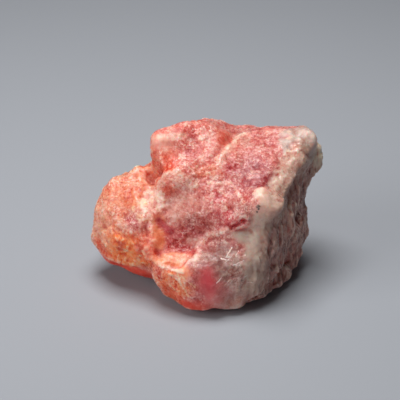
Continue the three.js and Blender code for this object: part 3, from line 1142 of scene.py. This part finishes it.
def relief_tree(layers: list[str]) -> bpy.types.NodeTree:
    """The tree that chips, flutes and roughens a skin.

    Args:
        layers: The names of its layers, each of which has a size and a height.

    Returns:
        The tree, with those as named inputs.
    """
    tree = bpy.data.node_groups.new("stone_relief", "GeometryNodeTree")
    face = tree.interface
    face.new_socket("Geometry", in_out="INPUT", socket_type="NodeSocketGeometry")
    for layer in layers:
        face.new_socket(f"{layer} Size", in_out="INPUT", socket_type="NodeSocketFloat")
        face.new_socket(f"{layer} Height", in_out="INPUT", socket_type="NodeSocketFloat")
    face.new_socket("Material", in_out="INPUT", socket_type="NodeSocketMaterial")
    face.new_socket("Geometry", in_out="OUTPUT", socket_type="NodeSocketGeometry")

    w = Weaver(tree)
    given = w.add("NodeGroupInput").outputs
    place = w.add("GeometryNodeInputPosition").outputs[0]
    normal = w.add("GeometryNodeInputNormal").outputs[0]
    marks = {
        name: w.add("GeometryNodeInputNamedAttribute", {"Name": name}, data_type="FLOAT").outputs[0]
        for name in ("chips", "grit", "flutes")
    }

    def layer(name: str, shape: Any, mark: Any) -> Socket:
        """A layer of the relief: its shape times its height, where its mark is."""
        return w.math("MULTIPLY", w.math("MULTIPLY", shape, given[f"{name} Height"]), mark)

    swell = w.math("SUBTRACT", w.noise(place, given["Swell Size"]), 0.5)
    height = layer("Swell", swell, 2.0)

    size = given["Chip Size"]
    bent = w.wander(place, *(w.math("MULTIPLY", size, share) for share in CHIP_WANDER))
    chip = w.cells(bent, size, "SMOOTH_F1")
    w.plug(chip.inputs["Smoothness"], CHIP_ROUND)
    tilt = w.vector("SUBTRACT", chip.outputs["Color"], HALF)
    slope = w.math("DIVIDE", w.dot(w.vector("SUBTRACT", bent, chip.outputs["Position"]), tilt), size)
    height = w.math("ADD", height, layer("Chip", w.math("MULTIPLY", slope, 2.0), marks["chips"]))

    grain = w.cells(place, given["Grain Size"]).outputs["Distance"]
    height = w.math("ADD", height, layer("Grain", w.math("SUBTRACT", GRAIN_MEAN, grain), marks["grit"]))

    stretched = w.vector("MULTIPLY", w.wander(place, *FLUTE_WANDER), FLUTE_STRETCH)
    flute = w.math("SUBTRACT", w.noise(stretched, given["Flute Size"], 3.0, 0.55), 0.5)
    height = w.math("ADD", height, layer("Flute", w.math("MULTIPLY", flute, 2.0), marks["flutes"]))

    offset = w.scaled(normal, height)
    moved = w.add("GeometryNodeSetPosition", {"Geometry": given["Geometry"], "Offset": offset}).outputs[0]
    real = w.add("GeometryNodeRealizeInstances", {"Geometry": moved}).outputs[0]
    dressed = w.add("GeometryNodeSetMaterial", {"Geometry": real, "Material": given["Material"]})
    w.add("NodeGroupOutput", {"Geometry": dressed.outputs[0]})
    return tree


# ---- The finish -----------------------------------------------------------------------


@dataclass(frozen=True)
class Contrast:
    """How a pattern deepens the colour where its value is low, and lightens it where it is high.

    Args:
        deep: The value where the deepening starts, the one where it is whole, and how strong
            it is there.
        pale: The same for the lightening.
    """

    deep: Share
    pale: Share


FLAKES = Contrast((0.47, 0.37, 0.3), (0.53, 0.6, 0.3))
BLOTS = Contrast((0.48, 0.34, 0.4), (0.52, 0.66, 0.35))
SPECKS = Contrast((0.44, 0.38, 0.9), (0.58, 0.65, 0.95))
# Painted shade in the hollows, where the skin lies under its neighbours, and a pale rim on the proud edges
# that is partly frost and partly a painted highlight.
HOLLOW_SHADE_EDGE_LIGHT = Contrast((0.0, -0.16, 0.7), (0.03, 0.2, 0.7))


class Painter(Weaver):
    """Paints the skin in layers, each over the colour so far."""

    def __init__(self, tree: bpy.types.NodeTree, solid: Solid, grain: float) -> None:
        """Starts on a material's tree.

        Args:
            tree: The tree.
            solid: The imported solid, which the marks are placed on.
            grain: The size of a grain, in millimetres.
        """
        super().__init__(tree)
        self.solid = solid
        self.place = self.scaled(self.add("ShaderNodeTexCoord").outputs["Object"], 1 / MM)
        self.marks = {
            name: self.add("ShaderNodeAttribute", attribute_name=name).outputs["Fac"]
            for name in ("wall", "chips", "grit", "proud")
        }
        self.grain = self.cells(self.wander(self.place, 0.5, 0.12), grain).outputs
        self.colour = Mineral.ROSE.colour

    def lay(self, share: Any, colour: Any, mode: str = "MIX") -> None:
        """Lays a share of another colour over the colour so far."""
        self.colour = self.blend(share, self.colour, colour, mode)

    def deepen(self, share: Any) -> None:
        """Deepens the colour, as where the stone is clear and thick; in the hollows this is painted shade.
        """
        self.lay(share, DEEP_TINT, "MULTIPLY")

    def lighten(self, share: Any) -> None:
        """Lightens the colour, as where the stone is cloudy or cracked; on the proud edges this is frost and
        partly a painted highlight.
        """
        pale = self.add("ShaderNodeGamma", {0: self.colour, 1: 0.5}).outputs[0]
        self.lay(share, self.blend(0.4, pale, Mineral.FROST.colour))

    def contrast(self, value: Any, strength: Contrast, where: Any = None) -> None:
        """Deepens and lightens the colour by a pattern.

        Args:
            value: The pattern.
            strength: How it changes the colour.
            where: How much it shows at a place, or None if it shows in full everywhere.
        """
        for change, step in ((self.deepen, strength.deep), (self.lighten, strength.pale)):
            share = self.ease(value, *step)
            change(share if where is None else self.math("MULTIPLY", share, where))

    def minerals(self) -> None:
        """Lays the colour of each mineral where it shows, grain by grain."""
        mosaic = self.vector("ADD", self.scaled(self.place, 0.4), self.scaled(self.grain["Position"], 0.6))
        spot = self.wander(self.wander(mosaic, 3.2, 1.3), 1.1, 0.45)
        self.lay(self.ease(self.noise(spot, 4.0, 3.0, 0.55), 0.35, 0.65), Mineral.CARNATION.colour)
        depth = self.noise(self.aside(spot, 40.0), 3.0, 3.0, 0.6)
        self.lay(self.ease(depth, 0.52, 0.7, 0.5), Mineral.RASPBERRY.colour)
        # The broken wall's brown, partly painted shade on the side that faces away from the lamps.
        self.lay(self.marks["wall"], self.wall())
        for patch in PATCHES.values():
            middle = self.solid.spot(patch.seen, patch.at)
            over = Vector(1 / half for half in patch.half)
            back = Vector(-m * o for m, o in zip(middle, over))
            away = self.length(self.vector("MULTIPLY_ADD", spot, over, back))
            self.lay(self.ease(away, 1 + patch.soft, 1 - patch.soft, patch.show), patch.mineral.colour)

    def wall(self) -> Socket:
        """The brown of the broken wall, with streaks down it, which the grains show through. It is partly
        the wall's own greasy brown and partly painted shade, as the wall faces away from the lamps.

        Returns:
            The brown.
        """
        down = self.vector("MULTIPLY", self.wander(self.place, 3.0, 0.8), (1.0, 1.0, 0.25))
        broad = self.ease(self.noise(down, 2.4, 3.0), 0.38, 0.62)
        brown = self.blend(broad, Mineral.UMBER.colour, Mineral.MAUVE.colour)
        streak = self.noise(self.aside(down, 9.0), 0.8)
        brown = self.blend(self.ease(streak, 0.53, 0.62, 0.9), brown, Mineral.GREIGE.colour)
        brown = self.blend(self.ease(streak, 0.46, 0.36, 0.7), brown, Mineral.BARK.colour)
        return self.blend(0.08, brown, self.colour)

    def line(self, bent: Any, line: Line) -> None:
        """Draws one thin line or clot.

        Args:
            bent: The point, moved about a little, in millimetres.
            line: The line.
        """
        flat = line.seen.flat
        knots = [knot * flat for knot in self.solid.trail(line.seen, line.path)]
        apart = None
        for start, end in zip(knots, knots[1:] or knots):
            away = self.vector("MULTIPLY_ADD", bent, flat, -start)
            along = end - start
            if along.length:
                share = self.math("MULTIPLY", self.dot(away, along), 1 / along.length_squared)
                share = self.math("MINIMUM", self.math("MAXIMUM", share, 0.0), 1.0)
                away = self.vector("SUBTRACT", away, self.scaled(along, share))
            length = self.length(away)
            apart = length if apart is None else self.math("MINIMUM", apart, length)
        self.lay(self.ease(apart, line.width, line.width * 0.3, line.show), line.mineral.colour)

    def mottle(self) -> None:
        """Makes the stone clear in some flakes and blots, and cloudy in others."""
        held = self.ease(self.marks["grit"], 0.0, 0.5)
        self.contrast(self.noise(self.aside(self.place, 7.0), 1.0, 3.0, 0.6), FLAKES, held)
        self.contrast(self.noise(self.place, 3.2), BLOTS, held)

    def specks(self) -> None:
        """Scatters fine crimson and cream specks, which lie in drifts."""
        drift = self.noise(self.aside(self.place, 20.0), 2.4, 3.0)
        fine = self.noise(self.place, 0.42, 2.0, 0.8)
        level = self.math("MULTIPLY_ADD", self.math("SUBTRACT", drift, 0.5), 0.6, fine)
        self.contrast(level, SPECKS, self.marks["grit"])

    def grains(self) -> None:
        """Gives each grain its own tone, and deep gaps."""
        tone = self.add("ShaderNodeSeparateColor", {0: self.grain["Color"]}).outputs
        gap = self.ease(self.grain["Distance"], 0.35, 0.65, 0.3)
        deep = self.math("ADD", gap, self.ease(tone[0], 0.35, 0.0, 0.2))
        self.deepen(self.math("MULTIPLY", deep, self.marks["grit"]))
        self.lighten(self.math("MULTIPLY", self.ease(tone[1], 0.7, 1.0, 0.3), self.marks["grit"]))

    def veins(self) -> None:
        """Draws the fine pale network between the grains."""
        bent = self.wander(self.wander(self.place, 1.4, 0.6), 0.5, 0.2)
        edge = self.cells(bent, 1.5, "DISTANCE_TO_EDGE").outputs["Distance"]
        where = self.ease(self.noise(self.place, 1.2), 0.5, 0.62, 0.6)
        line = self.math("MULTIPLY", self.ease(edge, 0.06, 0.01), where)
        self.lighten(self.math("MULTIPLY", line, self.marks["grit"]))

    def gloss(self) -> Socket:
        """How rough the skin is: it differs from one small face to the next, and chips shine.

        Returns:
            The roughness.
        """
        faces = self.cells(self.place, 0.4).outputs["Color"]
        tone = self.add("ShaderNodeSeparateColor", {0: faces}).outputs[0]
        shine = self.math("MULTIPLY", self.marks["chips"], 0.25)
        return self.math("SUBTRACT", self.between(tone, 0.3, 0.62), shine)

    def bump(self) -> Socket:
        """The grain that is too fine for the mesh.

        Returns:
            The bent normal.
        """
        tilts = []
        for cell, steep in ((self.grain, 0.45), (self.cells(self.place, 0.34).outputs, 0.35)):
            lean = self.vector("SUBTRACT", cell["Color"], HALF)
            within = self.vector("SUBTRACT", self.place, cell["Position"])
            tilts.append(self.math("MULTIPLY", self.dot(within, lean), steep))
        share = self.math("MULTIPLY_ADD", self.marks["grit"], 0.85, 0.15)
        waves = self.math("MULTIPLY", self.noise(self.place, 0.7, 3.0, 0.6), 0.12)
        height = self.math("ADD", self.math("MULTIPLY", self.math("ADD", *tilts), share), waves)
        return self.add("ShaderNodeBump", {"Strength": 0.65, "Distance": MM, "Height": height}).outputs[0]


@dataclass(frozen=True)
class StoneFinish:
    """The finish of the lump: minerals, grains, veins, frost and sparkles, with painted shade in the hollows
    and partly painted highlights on the edges.

    Args:
        grain: The size of a grain, in millimetres.
        glow: The share of light that passes under the skin.
        dense: How much less of it passes under the broken wall, as a share.
        depth: How far red light goes under the skin, in millimetres.
        colours_deep: How far red, green and blue light go, as shares of that depth.
        bend: How much the stone bends light, as its index of refraction.
    """

    grain: float = 0.42
    glow: float = 0.65
    dense: float = 0.6
    depth: float = 6.0
    colours_deep: Share = (1.0, 0.22, 0.13)
    bend: float = 1.5

    def make(self, solid: Solid) -> bpy.types.Material:
        """Makes the material.

        Args:
            solid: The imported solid, which the patches are placed on.

        Returns:
            The material.
        """
        material = bpy.data.materials.new("triplite_skin")
        material.use_nodes = True
        w = Painter(material.node_tree, solid, self.grain)
        w.minerals()
        bent = w.wander(w.place, 0.9, 0.25)
        for line in strewn_lines():
            w.line(bent, line)
        w.mottle()
        w.specks()
        w.grains()
        w.veins()
        # Painted shade deepens the hollows, and a partly painted highlight pales the proud edges.
        w.contrast(w.marks["proud"], HOLLOW_SHADE_EDGE_LIGHT)
        clear = w.math("MULTIPLY_ADD", w.marks["wall"], -self.dense, 1.0)
        values = {
            "Base Color": w.colour,
            "Roughness": w.gloss(),
            "Subsurface Weight": w.math("MULTIPLY", clear, self.glow),
            "Subsurface Radius": self.colours_deep,
            "Subsurface Scale": self.depth * MM,
            "IOR": self.bend,
            "Normal": w.bump(),
        }
        shader = w.add("ShaderNodeBsdfPrincipled", values)
        w.add("ShaderNodeOutputMaterial", {"Surface": shader.outputs[0]})
        return material


# ---- The studio -----------------------------------------------------------------------


@dataclass(frozen=True)
class Softbox:
    """A square white lamp with an even face.

    Args:
        at: Where it is, in millimetres.
        side: The length of its side, in millimetres.
        power: Its power, in watts.
    """

    at: Share
    side: float
    power: float

    def hang(self, name: str, target: Vector) -> None:
        """Hangs the lamp up, turned to the lump.

        Args:
            name: The lamp's name.
            target: The point that it faces, in millimetres.
        """
        lamp = bpy.data.lights.new(name, "AREA")
        lamp.size = self.side * MM
        lamp.energy = self.power
        holder = bpy.data.objects.new(name, lamp)
        bpy.context.scene.collection.objects.link(holder)
        holder.location = Vector(self.at) * MM
        holder.rotation_mode = "QUATERNION"
        holder.rotation_quaternion = (target - Vector(self.at)).to_track_quat("-Z", "Y")


LAMPS = {
    "overhead": Softbox((-20, 20, 290), 150, 0.9),
    "left": Softbox((-360, -190, 200), 260, 0.95),
    "front": Softbox((-60, -420, 150), 300, 0.12),
}


@dataclass
class Studio:
    """The floor, the lamps and the camera.

    Args:
        solid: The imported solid.
        floor_reach: How far the floor reaches each way, in metres.
        floor_code: Its colour code.
        lit: The point that the lamps face, as shares of the lump's box.
        sky: The colour of the sky.
        sky_strength: How bright it is.
        elevation: How far above the horizon the camera looks from, in degrees.
        lens: Its focal length, in millimetres.
        span: The width of the view at the lump, in millimetres.
        aim: The point in the middle of the view, as shares of the lump's box.
        clip: How near to the camera the view starts, in metres.
    """

    solid: Solid
    floor_reach: float = 4.0
    floor_code: str = "9DA0A6"
    lit: Share = (0.5, 0.5, 0.3)
    sky: Colour = (0.86, 0.9, 1.0, 1.0)
    sky_strength: float = 0.02
    elevation: float = 30.0
    lens: float = 135.0
    span: float = 80.0
    aim: Share = (0.47, 0.55, 0.5)
    clip: float = 0.01

    def build(self) -> None:
        """Builds the whole studio."""
        self.floor()
        self.lamps()
        self.camera()
        bpy.context.scene.view_settings.view_transform = "Standard"

    def floor(self) -> None:
        """A plain pale floor."""
        mesh = bpy.data.meshes.new("floor")
        ways = ((-1, -1), (1, -1), (1, 1), (-1, 1))
        ends = [(x * self.floor_reach, y * self.floor_reach, self.solid.low.z * MM) for x, y in ways]
        mesh.from_pydata(ends, [], [(0, 1, 2, 3)])
        floor = bpy.data.objects.new("floor", mesh)
        bpy.context.scene.collection.objects.link(floor)
        material = bpy.data.materials.new("floor_card")
        material.use_nodes = True
        w = Weaver(material.node_tree)
        shader = w.add("ShaderNodeBsdfPrincipled", {"Base Color": linear(self.floor_code), "Roughness": 0.9})
        w.add("ShaderNodeOutputMaterial", {"Surface": shader.outputs[0]})
        mesh.materials.append(material)

    def lamps(self) -> None:
        """A broad lamp overhead, weaker ones at the left and the front, and an even sky."""
        for name, lamp in LAMPS.items():
            lamp.hang(name, self.solid.place(self.lit))
        world = bpy.data.worlds.new("sky")
        world.use_nodes = True
        sky = world.node_tree.nodes["Background"].inputs
        sky["Color"].default_value = self.sky
        sky["Strength"].default_value = self.sky_strength
        bpy.context.scene.world = world

    def camera(self) -> None:
        """The camera, which looks at the front from above."""
        lens = bpy.data.cameras.new("camera")
        lens.lens = self.lens
        lens.clip_start = self.clip
        camera = bpy.data.objects.new("camera", lens)
        bpy.context.scene.collection.objects.link(camera)
        bpy.context.scene.camera = camera
        tilt = math.radians(self.elevation)
        back = Vector((0, -math.cos(tilt), math.sin(tilt)))
        away = self.span / lens.sensor_width * self.lens
        camera.location = (self.solid.place(self.aim) + back * away) * MM
        camera.rotation_mode = "QUATERNION"
        camera.rotation_quaternion = (-back).to_track_quat("-Z", "Y")


# ---- Everything -----------------------------------------------------------------------


def main() -> None:
    """Builds the studio and the lump."""
    logging.basicConfig(level=logging.INFO, format="%(name)s: %(message)s")
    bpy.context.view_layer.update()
    solid = Solid.of_node(NODE)
    Studio(solid).build()
    lump = Skin(solid).build(StoneFinish().make(solid))
    triangles = sum(len(face.vertices) - 2 for face in lump.data.polygons)
    LOG.info("%s: %d vertices, %d triangles", lump.name, len(lump.data.vertices), triangles)


if __name__ == "__main__":
    main()
